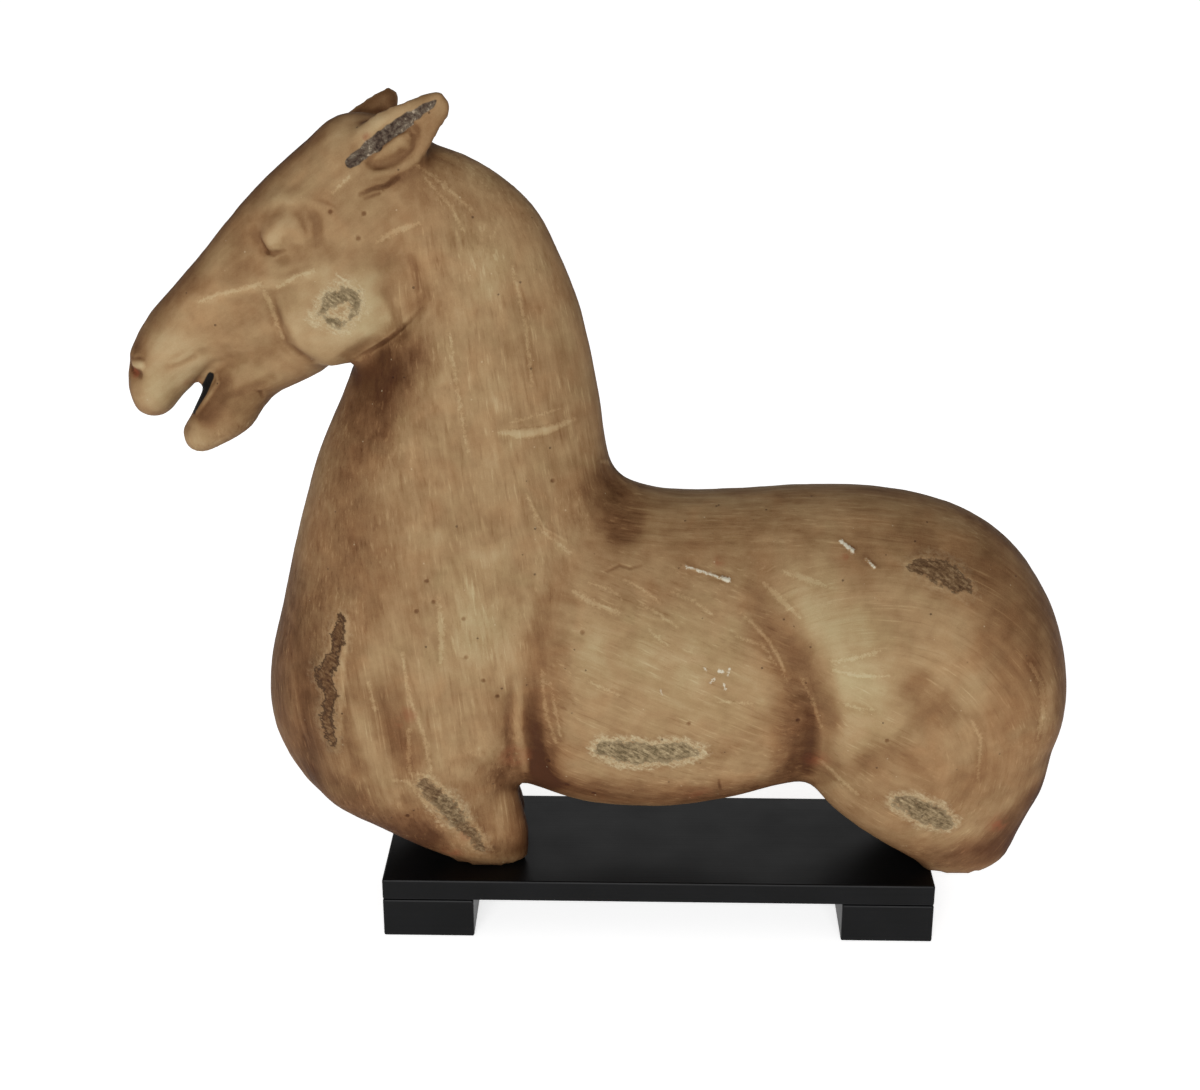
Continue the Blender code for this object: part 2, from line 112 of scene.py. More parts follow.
# Lines in the clay: how far each reaches, on which side, and its route as x, z and depth.
# A depth below zero stands proud. The left side is the one in the photograph.
BOTH, LEFT, RIGHT = 0, -1, 1
LINES = {
    "front of the eyeball": (8.0, BOTH, ((-203.5, 426.5, -1.3), (-202, 428, -1.3))),
    "top of the eyeball": (8.5, BOTH, ((-196, 436, -1.3), (-193, 439, -1.0))),
    "corner of the eye": (1.9, BOTH, ((-209.5, 426, 0.2), (-208.7, 423.4, 0.6), (-206, 417.9, 0.6))),
    "below the eyeball": (2.1, BOTH, ((-206.5, 418.2, 0.5), (-202.3, 417, 0.7), (-195.5, 420.4, 0.3))),
    "lid edge": (2.2, BOTH, ((-205.6, 421.6, -0.2), (-203, 420.8, -0.4), (-199, 422.4, -0.2))),
    "rear lid": (5.4, BOTH, ((-189.2, 441, -0.2), (-186, 432.6, -0.4), (-184.5, 424, -0.2))),
    "behind the eye": (3.4, BOTH, ((-184.8, 442, 0.2), (-181.9, 434, 0.6), (-180.9, 427, 0.2))),
    "crest ridge": (4.4, BOTH, ((-251, 385.7, -0.1), (-231.8, 393, -0.25), (-213.6, 397, -0.2),
        (-198.3, 400.2, -0.3), (-178.2, 407.4, -0.2))),
    "above the crest": (3.4, BOTH, ((-213, 405, 0.1), (-194.7, 405.5, 0.25), (-180.1, 411.9, 0.2))),
    "cheek front": (3.6, BOTH, ((-202, 386, 0.1), (-201.4, 378.7, 0.3), (-201.2, 370.5, 0.4),
        (-198, 361.6, 0.5), (-192, 356.4, 0.6), (-184, 350, 0.5))),
    "jaw crease": (2.0, BOTH, ((-157, 350, 0.3), (-148, 355.5, 0.8), (-139.8, 361.3, 1.2),
        (-129.6, 369.6, 0.9), (-120, 379, 0.4), (-112.8, 386.5, 0.1))),
    "cheek back": (4.6, BOTH, ((-127.5, 374, 0.7), (-131.4, 385.4, 0.6), (-135, 396, 0.3))),
    "behind the cheek": (4.0, BOTH, ((-119, 417, 0.3), (-116.8, 409, 0.5), (-115.4, 398, 0.3))),
    "nostril": (2.8, BOTH, ((-299.5, 340.5, 0.3), (-297, 338.8, 0.9), (-292.5, 338.8, 0.5))),
    "above the nostril": (2.2, BOTH, ((-297.5, 348, 0.2), (-293.5, 348.8, 0.4), (-289.4, 348.4, 0.2))),
    "nostril knob": (4.0, BOTH, ((-296, 343.6, -1.2), (-291, 345, -1.2))),
    "muzzle fold": (2.6, BOTH, ((-275, 343.6, 0.1), (-267, 345.4, 0.35), (-257.6, 349.8, 0.25))),
    "muzzle fold lip": (2.6, BOTH, ((-272, 347.6, -0.2), (-265, 350, -0.4), (-260, 352.4, -0.2))),
    "lip edge": (2.4, BOTH, ((-246.5, 335, -0.4), (-245.7, 331.5, -0.7), (-253, 321, -0.7),
        (-261.5, 310.8, -0.5))),
    "chin": (4.0, BOTH, ((-267.2, 303.2, -0.5), (-262, 303, -0.4))),
    "jaw notch": (2.0, BOTH, ((-221.4, 327.2, 0.2), (-218.8, 326, 0.5), (-218.2, 321.5, 0.2))),
    "jaw bone": (5.0, BOTH, ((-240, 323, 0.2), (-226, 330, 0.4), (-210, 336, 0.3))),
    "crease under the ear": (2.6, BOTH, ((-147.7, 454.3, 0.4), (-140.8, 457.4, 0.9), (-132.6, 459, 1.3),
        (-125.8, 463.2, 0.6))),
    "second ear crease": (2.0, BOTH, ((-145.1, 452.1, 0.3), (-136.8, 454.8, 0.5))),
    "ridge from the ear": (5.0, BOTH, ((-151, 468.6, -0.3), (-159.8, 461.3, -0.4), (-167, 455, -0.1))),
    "temple line": (2.2, BOTH, ((-174.5, 451.3, 0.1), (-168, 449.6, 0.35), (-161.5, 446.6, 0.1))),
    "ear hollow": (2.2, LEFT, ((-143.2, 471.2, 0.1), (-139.6, 476.2, 0.3), (-131.8, 484.4, 0.6),
        (-124.9, 489.7, 0.8), (-118.4, 491.6, 0.6), (-115.4, 487.4, 0.3), (-116.5, 480.3, 0.3),
        (-121.4, 475.4, 0.3), (-129, 471.3, 0.3), (-136.5, 469.2, 0.2), (-143.2, 470.1, 0.1))),
    "ear lobe": (4.0, LEFT, ((-128, 481.5, -0.5), (-123.5, 485, -0.7), (-120.4, 482, -0.4))),
    "ear rim": (3.2, LEFT, ((-140.7, 465.2, -0.3), (-127.1, 467.3, -0.6), (-115.4, 472.9, -0.6),
        (-107.4, 482.6, -0.5), (-102, 493.6, -0.3))),
    "neck scar": (1.6, LEFT, ((-66, 311.4, 0.05), (-54, 311.9, 0.2), (-43, 311.6, 0.2),
        (-24, 312.6, 0.05))),
    "leg crease": (4.0, BOTH, ((-62, 150, 0.1), (-64, 125, 0.5), (-63, 80, 0.4))),
    "leg ridge": (5.0, BOTH, ((-56, 150, -0.2), (-57, 115, -0.9), (-54, 78, -0.6))),
    "behind the leg": (9.0, BOTH, ((-44, 165, 0.2), (-48, 125, 0.9), (-45, 80, 1.1))),
    "neck scar lip": (3.4, LEFT, ((-66, 309.6, -0.15), (-46, 308, -0.35), (-22, 312, -0.15))),
    "withers scratch": (1.6, LEFT, ((-4.5, 281, -0.2), (3.7, 273.7, -0.35), (17.4, 266, -0.2))),
    "shoulder scratch": (1.6, LEFT, ((-50.4, 270.5, -0.2), (-40, 248.3, -0.35), (-25.6, 238.7, -0.2))),
    "barrel squiggle": (1.5, LEFT, ((-1.4, 220.3, 0.2), (7.3, 224, 0.45), (14, 222, 0.4),
        (21, 223.4, 0.2))),
    "barrel scrape": (1.7, LEFT, ((47.5, 223.6, -0.2), (55, 221.4, -0.5), (62, 219.6, -0.3),
        (69, 217.6, -0.7), (75.4, 216, -1.1))),
    "belly crack": (1.4, LEFT, ((72.7, 77.8, 0.3), (73.2, 72, 0.6), (74.3, 66.6, 0.3))),
    "back crack": (1.6, LEFT, ((108.3, 257.4, 0.3), (125, 258.2, 0.6), (132.6, 261.4, 0.4))),
    "first slash": (1.5, LEFT, ((145.9, 238.8, -0.5), (153.3, 233.7, -1.1))),
    "second slash": (1.5, LEFT, ((161.5, 229.8, -0.5), (166.5, 225.3, -1.2))),
    "flank line": (2.2, LEFT, ((85, 200, -0.1), (101.7, 180.5, -0.25), (115, 157, -0.25))),
    "second flank line": (2.2, LEFT, ((126, 156, -0.15), (131, 142, -0.25), (134, 126.6, -0.15))),
    "chest crack": (2.4, LEFT, ((-168, 192, 0.3), (-170.4, 181, 0.9), (-170.8, 168.6, 0.9),
        (-176.7, 155.4, 0.8), (-175.5, 140.4, 0.6), (-179, 120.6, 0.7), (-176.3, 101, 0.3))),
    "chest lip": (3.0, LEFT, ((-163.5, 193, -0.3), (-165.5, 175, -0.6), (-168, 158, -0.5),
        (-169.5, 138, -0.5), (-172, 112, -0.3))),
    "far side scar": (1.8, RIGHT, ((40, 170, 0.2), (62, 176, 0.5), (80, 174, 0.3))),
    "far side crack": (1.6, RIGHT, ((-80, 250, 0.3), (-88, 232, 0.5), (-84, 214, 0.3))),
}

# Places where the forelegs' rear edges swell a little, as x, y, z, reach and height
SWELLS = ((-60.0, -36.0, 38.0, 34.0, 8.5), (-58.0, 38.0, 44.0, 30.0, 4.0))

# White scratches and flecks on the left side: routes of x, z and half width
CHALK = {
    "scrape": ((49, 223, 0.35), (62, 219.6, 0.6), (70, 217.4, 0.8), (75.4, 216, 1.7)),
    "first slash": ((145.9, 238.8, 0.7), (153.3, 233.7, 1.2)),
    "second slash": ((161.5, 229.8, 0.2), (166.5, 225.3, 0.9)),
    "first fleck": ((61.5, 163, 1.1), (62.5, 162.4, 0.9)),
    "second fleck": ((70.5, 161.6, 1.1), (72.6, 160.8, 1.0)),
    "third fleck": ((64.5, 153.8, 0.6), (67.4, 156.4, 0.8)),
    "fourth fleck": ((73.6, 153.6, 0.6), (74.6, 149.6, 0.7)),
    "fifth fleck": ((77, 163.4, 0.5), (76, 159, 0.4)),
    "sixth fleck": ((34, 148.2, 0.6), (35, 145, 0.6)),
}

# Pale brush strokes on the left side: routes of x, z and half width
STROKES = {
    "facial crest": ((-252, 386, 0.5), (-243, 390, 1.2), (-234, 393, 0.7), (-222, 396, 1.3),
        (-211, 400, 0.8)),
    "facial crest end": ((-200, 398, 0.7), (-187, 406, 1.3), (-177, 409, 0.6)),
    "cheek front": ((-211, 399, 0.8), (-207, 388, 1.6), (-200, 364, 0.6)),
    "temple": ((-139, 426, 0.8), (-128, 432, 1.8), (-114, 437, 0.7)),
    "below the ear": ((-164, 455, 0.2), (-158, 461, 0.8), (-153, 466, 0.3)),
    "first on the barrel's corner": ((-12, 214, 0.3), (0, 211, 0.7), (9, 205, 0.4)),
    "second on the barrel's corner": ((10, 216, 0.4), (24, 209, 0.9), (33, 203, 0.3)),
    "third on the barrel's corner": ((20, 201, 0.4), (33, 196, 0.8), (44, 188, 0.4)),
    "fourth on the barrel's corner": ((40, 209, 0.3), (54, 204, 0.7), (66, 196, 0.4)),
    "top of the neck": ((-115, 470, 0.5), (-98, 458, 0.9), (-82, 443, 0.5)),
    "second on the neck": ((-110, 462, 0.4), (-94, 446, 0.8), (-86, 430, 0.4)),
    "neck scar": ((-66, 310.5, 0.9), (-54, 308.5, 3.2), (-38, 309, 2.6), (-22, 313, 0.8)),
    "above the neck scar": ((-60, 316, 0.3), (-44, 319, 0.5), (-30, 321, 0.3)),
    "neck middle": ((-96, 372, 0.4), (-92, 340, 0.9), (-86, 300, 0.5)),
    "neck rear": ((-58, 410, 0.4), (-50, 372, 0.8), (-47, 338, 0.4)),
    "shoulder scratch": ((-50, 268, 0.5), (-41, 246, 0.7), (-24, 232, 0.5)),
    "withers scratch": ((-4.5, 281, 0.4), (3.7, 273.7, 0.8), (17.4, 266, 0.4)),
    "barrel corner": ((-22, 209, 0.7), (-6, 201, 1.7), (8, 196, 0.9)),
    "barrel middle": ((26, 187, 0.5), (38, 177, 0.8)),
    "barrel left": ((-11, 153, 0.5), (7, 144, 0.9)),
    "barrel low": ((70, 141, 0.5), (92, 140, 0.6)),
    "first on the flank": ((83, 198, 0.4), (96, 187, 0.8), (107, 173, 0.8), (114, 153, 0.5)),
    "second on the flank": ((80, 184, 0.4), (98, 178, 0.6), (106, 166, 0.4)),
    "third on the flank": ((123, 156, 0.5), (131, 138, 0.8), (137, 120, 0.6)),
    "haunch top": ((110, 222, 0.9), (122, 219, 1.6), (136, 215, 0.7)),
    "haunch front": ((98, 215, 0.9), (108, 206, 1.8), (120, 196, 1.0)),
    "first on the haunch": ((140, 170, 0.6), (154, 172, 1.0), (170, 177, 0.5)),
    "second on the haunch": ((142, 164, 0.6), (158, 161, 0.9), (176, 161, 0.5)),
    "third on the haunch": ((146, 142, 0.4), (156, 139, 0.7), (168, 138, 0.4)),
    "rump": ((266, 166, 0.8), (275, 150, 1.8), (277, 132, 1.6), (275, 112, 0.8)),
    "thigh": ((229, 133, 0.5), (237, 118, 1.0), (238, 87, 0.5)),
    "front of the thigh": ((139, 90, 0.7), (150, 80, 1.3), (163, 70, 0.8)),
    "shoulder": ((-106, 208, 0.7), (-104, 188, 1.9), (-105, 165, 1.0)),
    "chest": ((-129, 172, 0.6), (-126, 141, 1.1), (-117, 112, 0.9), (-114, 88, 1.2)),
    "chest short": ((-152, 150, 0.8), (-148, 131, 1.0)),
    "behind the leg": ((-42, 158, 0.5), (-39, 127, 1.0), (-33, 106, 0.8)),
    "second behind the leg": ((-36, 150, 0.4), (-33, 130, 0.7), (-30, 112, 0.5)),
    "above the foreleg patch": ((-127, 118, 0.7), (-128, 98, 1.1), (-127, 86, 1.3), (-121, 80, 0.8)),
    "left of the foreleg patch": ((-138, 80, 0.6), (-129, 80, 1.3), (-124, 72, 0.9), (-116, 57, 0.8),
        (-109, 43, 0.6)),
    "right of the foreleg patch": ((-126, 86, 1.0), (-114, 84, 1.2), (-105, 72, 0.9), (-94, 53, 0.8),
        (-84, 33, 0.9), (-76, 15, 0.6)),
    "in the foreleg patch": ((-97, 47, 0.6), (-90, 34, 0.9), (-83, 22, 0.5)),
}

# Single pits, as x and z on the left side
PITS = (
    (-34.5, 277.0), (-112.6, 218.7), (-108.8, 205.0), (-119.6, 199.0), (-90.1, 193.6), (-89.2, 168.0),
    (-78.4, 152.8), (-69.7, 142.0), (-130.9, 51.0), (-26.8, 68.0), (52.0, 125.0),
    (121.4, 127.0), (-15.8, 184.4), (-39.0, 88.0), (-9.0, 61.0), (178.0, 115.0), (-150.0, 428.0),
    (-166.0, 444.4), (-146.0, 443.0),
)
PIT_REACH = 1.7
PIT_DEPTH = 0.7
# The painted shade in each pit
PIT_SHADE = 1.1

# The depth of the worn patches and the height of the slip's rim around them, in millimetres
WORN_DEPTH = 0.35
RIM_HEIGHT = 0.22
# The clay's own unevenness: each wave's length and height in millimetres, its seed and its octaves
WAVES = ((26.0, 0.28, 1, 2), (7.0, 0.1, 2, 2))
WORN_WAVE = (2.4, 0.18, 5, 2)

# Worn patches: on which side, how gray from 0 (brown) to 1, and the route of each as x, z and half width
PATCHES = {
    "chest": (LEFT, 0, ((-169, 190, 3), (-171, 178, 4.5), (-174, 166, 4), (-180, 154, 7), (-177, 140, 4),
        (-180, 122, 4), (-177, 103, 2.5))),
    "top of the foreleg": (LEFT, 0.3, ((-118, 77, 4.6), (-112, 69, 6.0))),
    "foreleg": (LEFT, 0.55, ((-109, 64, 6.2), (-103, 55, 6.6), (-98, 47, 5.4))),
    "foreleg foot": (LEFT, 0.3, ((-97, 44, 3.4), (-90, 32, 3.2), (-83, 20, 2.4))),
    "belly": (LEFT, 1, ((-1, 104, 6.5), (12, 101.5, 9), (27, 101, 8), (42, 103, 7.5), (56, 103.5, 4))),
    "thigh": (LEFT, 0.8, ((191, 69, 5), (201, 64, 8), (211, 58, 9), (219, 52, 6))),
    "cheek ring": (LEFT, 1, ((-176, 381, 1.8), (-168.6, 390.5, 3.6), (-161, 396, 4.4), (-154, 394, 3.4),
        (-152, 387, 1.8), (-157, 379, 1.4), (-163, 377, 2.6), (-170, 379.5, 2.0))),
    "rump": (LEFT, 0.18, ((191, 224.5, 3), (201, 223.5, 6), (213, 220, 6), (221, 215.5, 5),
        (227, 211, 2.5))),
    "far barrel": (RIGHT, 1, ((20, 120, 5), (36, 112, 9), (52, 112, 6))),
    "far shoulder": (RIGHT, 0, ((-110, 170, 5), (-106, 156, 8), (-110, 140, 5))),
    "far haunch": (RIGHT, 1, ((180, 180, 5), (192, 172, 8), (205, 160, 5))),
}
# The rubbed strip along the front of the left ear
STRIP = ((-153, 472.4, 3.6), (-140.4, 482.1, 4.4), (-128.6, 491, 4.4), (-116.9, 499, 3.9),
         (-106.6, 505.1, 2.8), (-102.1, 508.4, 1.2))

# The painted shadow inside the lower lip, near black, over the lip's dark paint, as x, z and half width
MOUTH = ((-251, 334, 2.5), (-256.5, 324, 3.0), (-265, 311, 3.0))

# Soft painted shade and painted light over the slip's darker washes: painted shade behind the legs, under
# the belly, jaw and ear, in the throat and along the edges that turn from the light, and painted highlights
# on the barrel, haunch, shoulder, neck, cheek and face. On which side, how far each reaches, and its route
# as x, z and darkness (below zero is paler)
SHADING_AND_WASHES = {
    "withers": (BOTH, 26, ((-18, 292, -0.05), (-4, 264, 0.18), (4, 244, 0.24), (34, 246, 0.0))),
    "back right": (BOTH, 20, ((165, 244, 0.15), (196, 239, 0.4), (230, 225, 0.25))),
    "behind the shoulder": (BOTH, 26, ((-26, 230, -0.15), (-36, 200, -0.05), (-30, 170, 0.2),
        (-36, 130, 0.15), (-36, 85, 0.3))),
    "behind the leg": (BOTH, 17, ((-46, 140, 0.05), (-48, 110, 0.3), (-46, 88, 0.4), (-42, 68, 0.6))),
    "corner behind the leg": (BOTH, 14, ((-50, 76, 0.35), (-38, 72, 0.25))),
    "rear of the foreleg": (BOTH, 13, ((-66, 84, 0.05), (-62, 66, 0.15), (-60, 46, 0.35),
        (-57, 16, 0.4))),
    "rear of the shoulder": (BOTH, 13, ((-68, 170, 0.2), (-69, 130, 0.35), (-70, 80, 0.3))),
    "flank": (BOTH, 19, ((96, 212, 0.1), (108, 178, 0.3), (116, 143, 0.55), (119, 108, 0.62),
        (117, 84, 0.6))),
    "belly before the flank": (BOTH, 24, ((88, 98, 0.12), (108, 124, 0.2))),
    "flank right": (BOTH, 13, ((132, 176, 0.3), (137, 148, 0.45), (140, 125, 0.35))),
    "flank line": (BOTH, 7, ((125, 176, 0.1), (129, 142, 0.25), (132, 112, 0.6), (131, 78, 0.7))),
    "rump edge": (BOTH, 26, ((252, 216, 0.25), (274, 190, 0.4), (288, 150, 0.45), (288, 110, 0.4),
        (286, 70, 0.4))),
    "rump band": (BOTH, 24, ((205, 218, 0.15), (230, 208, 0.2), (243, 190, 0.5), (256, 162, 0.4),
        (260, 130, 0.4))),
    "rump streak": (BOTH, 7, ((277, 178, -0.2), (281, 150, -0.3), (279, 120, -0.2))),
    "belly edge": (BOTH, 22, ((-36, 62, 0.7), (-10, 64, 0.65), (40, 56, 0.55), (84, 62, 0.65),
        (110, 64, 0.55))),
    "upper chest": (BOTH, 34, ((-138, 290, 0.15), (-154, 250, 0.4), (-162, 215, 0.5), (-166, 188, 0.3))),
    "chest edge": (BOTH, 28, ((-196, 195, 0.4), (-208, 150, 0.55), (-204, 112, 0.75), (-190, 72, 0.8),
        (-165, 48, 0.85), (-128, 24, 0.9))),
    "throat": (BOTH, 25, ((-122, 356, 0.6), (-146, 332, 0.85), (-158, 308, 0.5), (-160, 285, 0.25),
        (-164, 255, 0.25))),
    "behind the cheek": (BOTH, 17, ((-112, 388, 0.2), (-114, 350, 0.2), (-114, 315, 0.15))),
    "below the jaw": (BOTH, 16, ((-133, 394, 0.15), (-131, 352, 0.18), (-134, 300, 0.2))),
    "lower lip": (BOTH, 15, ((-258, 304, 0.35), (-240, 306, 0.3), (-222, 320, 0.2))),
    "mouth side": (BOTH, 9, ((-241, 333, 0.6), (-246, 320, 0.7), (-254, 308, 0.6))),
    "upper lip": (BOTH, 15, ((-282, 322, -0.3), (-264, 334, -0.4), (-250, 346, -0.4))),
    "nostril knob": (BOTH, 4, ((-296, 344, -0.4), (-291, 345, -0.4))),
    "cheek bottom": (BOTH, 10, ((-150, 356, 0.15), (-132, 366, 0.1))),
    "low chest": (BOTH, 22, ((-184, 160, 0.25), (-180, 115, 0.45), (-150, 60, 0.25), (-112, 36, 0.3))),
    "shoulder dimple": (BOTH, 17, ((-143, 136, 0.3), (-139, 116, 0.55), (-129, 94, 0.4))),
    "crest": (BOTH, 15, ((-78, 470, -0.25), (-66, 450, -0.05), (-66, 424, 0.12), (-48, 396, 0.0),
        (-28, 350, 0.0))),
    "nose bridge": (BOTH, 10, ((-262, 395, 0.1), (-290, 362, 0.2))),
    "side of the face": (BOTH, 17, ((-218, 424, 0.35), (-222, 402, 0.2), (-225, 366, 0.12))),
    "edge of the face": (BOTH, 8, ((-290, 374, 0.2), (-256, 413, 0.3), (-228, 442, 0.5), (-194, 474, 0.5),
        (-166, 494, 0.3))),
    "nape": (BOTH, 20, ((-112, 462, 0.15), (-108, 440, 0.15))),
    "tip of the nose": (BOTH, 12, ((-296, 352, 0.25), (-298, 334, 0.25))),
    "jaw": (BOTH, 13, ((-236, 320, 0.45), (-224, 330, 0.3))),
    "foreleg": (BOTH, 22, ((-78, 72, 0.15), (-72, 46, 0.3), (-68, 22, 0.3))),
    "foreleg sole": (BOTH, 24, ((-118, 18, 0.3), (-90, 6, 0.5), (-60, 6, 0.5))),
    "thigh": (BOTH, 42, ((188, 104, 0.2), (214, 80, 0.25), (246, 76, 0.35))),
    "hock edge": (BOTH, 26, ((168, 50, 0.25), (205, 16, 0.45), (232, 16, 0.9), (262, 26, 1.2),
        (284, 52, 0.8))),
    "ear": (LEFT, 24, ((-132, 476, 0.2), (-108, 494, 0.35))),
    "under the ear": (BOTH, 8, ((-142, 457, 0.25), (-126, 463, 0.35))),
    "barrel light": (BOTH, 42, ((0, 168, -0.22), (44, 164, -0.32), (84, 150, -0.15))),
    "back top": (BOTH, 13, ((34, 254, -0.2), (115, 257, -0.28), (180, 252, -0.2), (222, 242, -0.15))),
    "forehead": (BOTH, 24, ((-178, 474, -0.15), (-198, 452, -0.28), (-212, 436, -0.1))),
    "root of the ear": (LEFT, 15, ((-160, 490, -0.4), (-140, 499, -0.45), (-122, 506, -0.3))),
    "haunch light": (BOTH, 32, ((126, 206, -0.35), (146, 190, -0.45), (156, 160, -0.45),
        (160, 122, -0.2))),
    "cheek light": (BOTH, 22, ((-182, 374, -0.25), (-150, 368, -0.4), (-134, 376, -0.45),
        (-148, 400, -0.4), (-172, 402, -0.35))),
    "face light": (BOTH, 18, ((-272, 358, -0.25), (-244, 380, -0.25), (-215, 396, -0.2))),
    "neck light": (BOTH, 28, ((-98, 400, -0.1), (-88, 340, -0.2), (-66, 280, -0.15))),
    "shoulder light": (BOTH, 32, ((-76, 225, -0.25), (-86, 190, -0.45), (-84, 160, -0.3),
        (-94, 132, -0.05))),
}

# Soft hues: the same, where above zero is redder and below zero more olive
HUES = {
    "behind the leg": (BOTH, 24, ((-36, 180, 0.4), (-44, 130, 0.7), (-40, 80, 1.0))),
    "belly edge": (BOTH, 24, ((-30, 66, 0.9), (30, 60, 0.6), (110, 66, 0.5))),
    "upper chest": (BOTH, 34, ((-168, 245, 0.5), (-158, 212, 0.8), (-165, 180, 0.5))),
    "chest front": (BOTH, 22, ((-205, 165, 0.3), (-200, 110, 0.3))),
    "foreleg": (BOTH, 34, ((-120, 40, 0.7), (-88, 34, 0.8), (-66, 40, 1.0))),
    "dimple": (BOTH, 20, ((-140, 118, 0.6), (-128, 96, 0.6))),
    "rump": (BOTH, 34, ((236, 196, 0.6), (252, 160, 0.6), (262, 110, 0.5))),
    "thigh": (BOTH, 40, ((200, 100, 0.7), (240, 84, 0.6))),
    "hock": (BOTH, 24, ((240, 20, 0.8), (276, 26, 1.0))),
    "flank": (BOTH, 22, ((104, 190, 0.3), (120, 130, 0.6), (122, 90, 0.6))),
    "throat": (BOTH, 28, ((-140, 340, 0.5), (-156, 300, 0.4))),
    "face": (BOTH, 26, ((-226, 420, 0.4), (-240, 390, 0.4), (-262, 365, 0.3))),
    "behind the cheek": (BOTH, 26, ((-112, 400, 0.7), (-116, 440, 0.5))),
    "barrel": (BOTH, 46, ((10, 175, -0.6), (60, 165, -0.8), (70, 135, -0.3))),
    "haunch": (BOTH, 34, ((130, 206, -0.7), (156, 176, -0.9), (168, 125, -0.5))),
    "shoulder": (BOTH, 34, ((-82, 230, -0.4), (-86, 180, -0.8))),
    "cheek": (BOTH, 26, ((-165, 385, -0.6), (-145, 385, -0.5))),
    "muzzle": (BOTH, 18, ((-285, 326, -0.6), (-270, 335, -0.3))),
}

# Rust and iron red stains, as x, z, reach and strength, on the left side
STAINS = (
    (-126.0, 128.0, 7.0, 0.5), (-134.0, 121.0, 4.0, 0.4), (256.0, 47.0, 9.0, 0.7), (-93.0, 33.0, 6.0, 0.5),
    (-144.0, 487.0, 3.0, 0.8), (148.6, 230.4, 2.6, 0.9), (-297.0, 338.5, 4.5, 0.9), (-104.0, 16.0, 8.0, 0.6),
    (70.0, 225.5, 3.5, 0.6), (-60.0, 92.0, 12.0, 0.45), (136.0, 92.0, 10.0, 0.4),
    (-262.0, 330.0, 6.0, 0.4), (60.0, 62.0, 12.0, 0.3),
)

# The lines that part the brush strokes: neck and shoulder from barrel, and barrel from haunch (x at each z)
SHOULDER_LINE = ((0, -50), (92, -51), (155, -42), (210, -26), (258, -6), (300, 10), (520, 10))
THROAT_LINE = ((0, -400), (285, -300), (330, -150), (470, -108), (520, -80))
FLANK_LINE = ((0, 140), (82, 133), (129, 136), (177, 117), (217, 92), (520, 70))
HAUNCH_MIDDLE = (165.0, 95.0)
HAUNCH_ROUND = 85.0


def smooth(values, low, high):
    """0 below low and 1 above high, with a soft step between them."""
    t = np.clip((values - low) / (high - low), 0, 1)
    return t * t * (3 - 2 * t)


def read_points(mesh):
    flat = np.empty(len(mesh.vertices) * 3)
    mesh.vertices.foreach_get("co", flat)
    return flat.reshape(-1, 3)


def write_points(mesh, points):
    mesh.vertices.foreach_set("co", points.ravel())
    mesh.update()


def read_normals(mesh):
    flat = np.empty(len(mesh.vertices) * 3)
    mesh.vertices.foreach_get("normal", flat)
    return flat.reshape(-1, 3)


def links_of(mesh):
    """Each edge's two ends, and how many edges meet at each point."""
    flat = np.empty(len(mesh.edges) * 2, np.int32)
    mesh.edges.foreach_get("vertices", flat)
    one, other = flat.reshape(-1, 2).T
    count = np.bincount(np.concatenate([one, other]), minlength=len(mesh.vertices))
    return one, other, count


def averaged(values, links):
    """Each point's value replaced by the mean of its neighbours'."""
    one, other, count = links
    found = np.empty_like(values)
    for k in range(values.shape[1]):
        column = values[:, k]
        found[:, k] = np.bincount(one, column[other], len(count))
        found[:, k] += np.bincount(other, column[one], len(count))
    return found / count[:, None]


def relaxed(points, links, passes, free=None):
    """Takes small bumps out and keeps the volume: a step in, then a slightly longer one out."""
    points = points.copy()
    for _ in range(passes):
        for step in (0.5, -0.52):
            move = (averaged(points, links) - points) * step
            if free is not None:
                move *= free
            points += move
    return points


def blurred(values, links, passes):
    for _ in range(passes):
        values = 0.5 * values + 0.5 * averaged(values, links)
    return values


def near_route(flat, route):
    """How far each point lies from the route, and the route's third value at its nearest place."""
    route = np.array(route, float)
    nearest = np.full(len(flat), 1e9)
    value = np.zeros(len(flat))
    if len(route) == 1:
        route = np.vstack([route, route])
    for start, end in zip(route, route[1:]):
        along = end[:2] - start[:2]
        t = np.clip((flat - start[:2]) @ along / max(along @ along, 1e-9), 0, 1)
        distance = np.linalg.norm(flat - start[:2] - t[:, None] * along, axis=1)
        closer = distance < nearest
        nearest[closer] = distance[closer]
        value[closer] = (start[2] + (end[2] - start[2]) * t)[closer]
    return nearest, value


def rough(points, size, seed, octaves=2):
    """Soft noise of the given wavelength at each point, about -1 to 1."""
    shift = Vector((seed * 17.3, seed * -9.1, seed * 5.7))
    return np.array([noise.fractal(Vector(p) / size + shift, 1.0, 2.0, octaves) for p in points])


def side_mask(points, normals, side):
    """1 where a point faces that side, fading to 0 at the horse's edges."""
    facing = smooth(np.abs(normals[:, 1]), 0.12, 0.45)
    outward = points[:, 1] * normals[:, 1] > 0
    if side == LEFT:
        outward &= points[:, 1] < 0
    if side == RIGHT:
        outward &= points[:, 1] > 0
    return facing * outward


def evaluated(piece):
    """The mesh as its modifiers leave it."""
    graph = bpy.context.evaluated_depsgraph_get()
    return bpy.data.meshes.new_from_object(piece.evaluated_get(graph))


def to_drawing(points):
    middle = np.array([HORSE_LOW.x, 0.0, HORSE_LOW.z])
    return (points - middle) / SCALE + np.array([DRAWING_NOSE, 0.0, 0.0])


def from_drawing(points):
    middle = np.array([HORSE_LOW.x, 0.0, HORSE_LOW.z])
    return (points - np.array([DRAWING_NOSE, 0.0, 0.0])) * SCALE + middle


